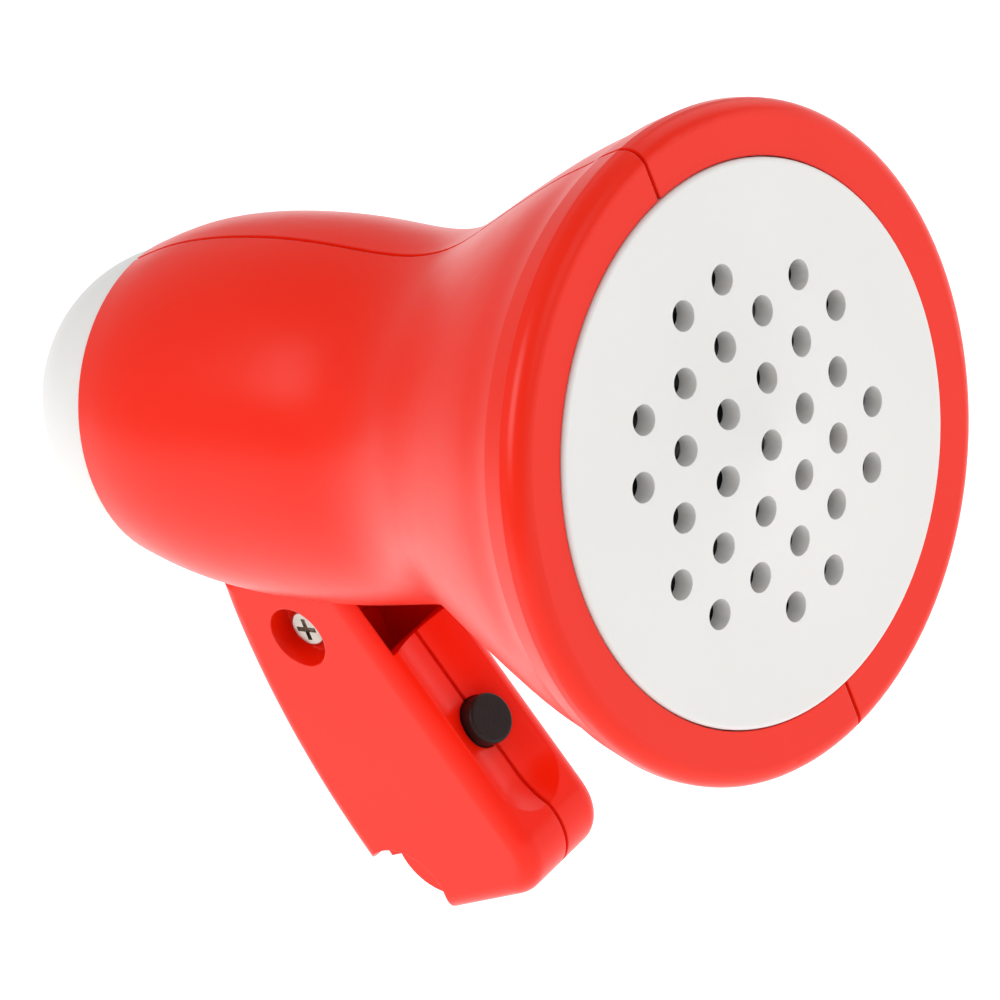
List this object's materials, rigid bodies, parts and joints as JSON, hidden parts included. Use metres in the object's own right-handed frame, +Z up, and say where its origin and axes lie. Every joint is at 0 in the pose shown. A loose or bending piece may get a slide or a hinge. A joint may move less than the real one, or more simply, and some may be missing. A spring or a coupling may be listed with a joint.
{
  "type": "handheld megaphone",
  "caption": "Pocket-size battery megaphone: flared horn with a round speaker grille, domed mouthpiece and a short leaning handle with a push-to-talk button.",
  "frame": {"origin": "middle of the grip, on the handle's mid-plane, where a hand closes round it", "axes": "+X forward along the horn's axis towards the grille, +Y to the holder's left across the parting plane, +Z up from the handle to the horn"},
  "size_m": [0.091, 0.0658, 0.0906],
  "materials": {
    "red_gloss": "glossy saturated red moulded ABS, fine flow texture",
    "white_satin": "white moulded plastic, satin",
    "black_matte": "matte black moulded plastic",
    "bright_steel": "nickel-plated steel",
    "plain_steel": "plain zinc-plated or drawn steel",
    "ferrite": "dark grey sintered ferrite",
    "dark_film": "thin dark translucent film",
    "copper_wire": "enamelled copper winding",
    "grey_foam": "closed-cell foam, die cut",
    "green_board": "green solder mask over glass laminate",
    "clear_silicone": "milky silicone rubber",
    "black_rubber": "black rubber"
  },
  "bodies": {
    "housing": {"housing_left": "red_gloss", "housing_right": "red_gloss", "housing_screws": "bright_steel", "speaker_grille": "white_satin", "mouthpiece": "white_satin", "microphone": "plain_steel", "microphone_boot": "black_rubber", "speaker_basket": "plain_steel", "speaker_top_plate": "plain_steel", "speaker_magnet": "ferrite", "speaker_yoke": "plain_steel", "speaker_surround": "dark_film", "speaker_gasket": "grey_foam", "main_board": "green_board", "voice_chip": "black_matte", "capacitors": "black_matte", "switch_dome": "clear_silicone", "switch_board": "green_board", "button_cell_1": "plain_steel", "button_cell_2": "plain_steel", "button_cell_3": "plain_steel", "battery_spring": "plain_steel", "contact_plate": "plain_steel"},
    "talk_button": {"talk_button": "black_matte", "contact_pill": "black_rubber"},
    "diaphragm": {"speaker_cone": "dark_film", "speaker_dust_cap": "dark_film", "voice_coil": "copper_wire"},
    "battery_cover": {"battery_cover": "red_gloss", "cover_screw": "bright_steel"}
  },
  "joints": [
    {"name": "talk_press", "type": "slide", "parent": "housing", "child": "talk_button", "axis": [-0.9354, 0, -0.3535], "range_m": [0, 0.0012], "stiffness_N_per_m": 900, "deforming": ["switch_dome"]},
    {"name": "diaphragm_travel", "type": "slide", "parent": "housing", "child": "diaphragm", "axis": [1, 0, 0], "range_m": [-0.0004, 0.0004], "stiffness_N_per_m": 2000, "deforming": ["speaker_surround"]},
    {"name": "cover_lift", "type": "slide", "parent": "housing", "child": "battery_cover", "axis": [0, -1, 0], "range_m": [0, 0.015]}
  ]
}
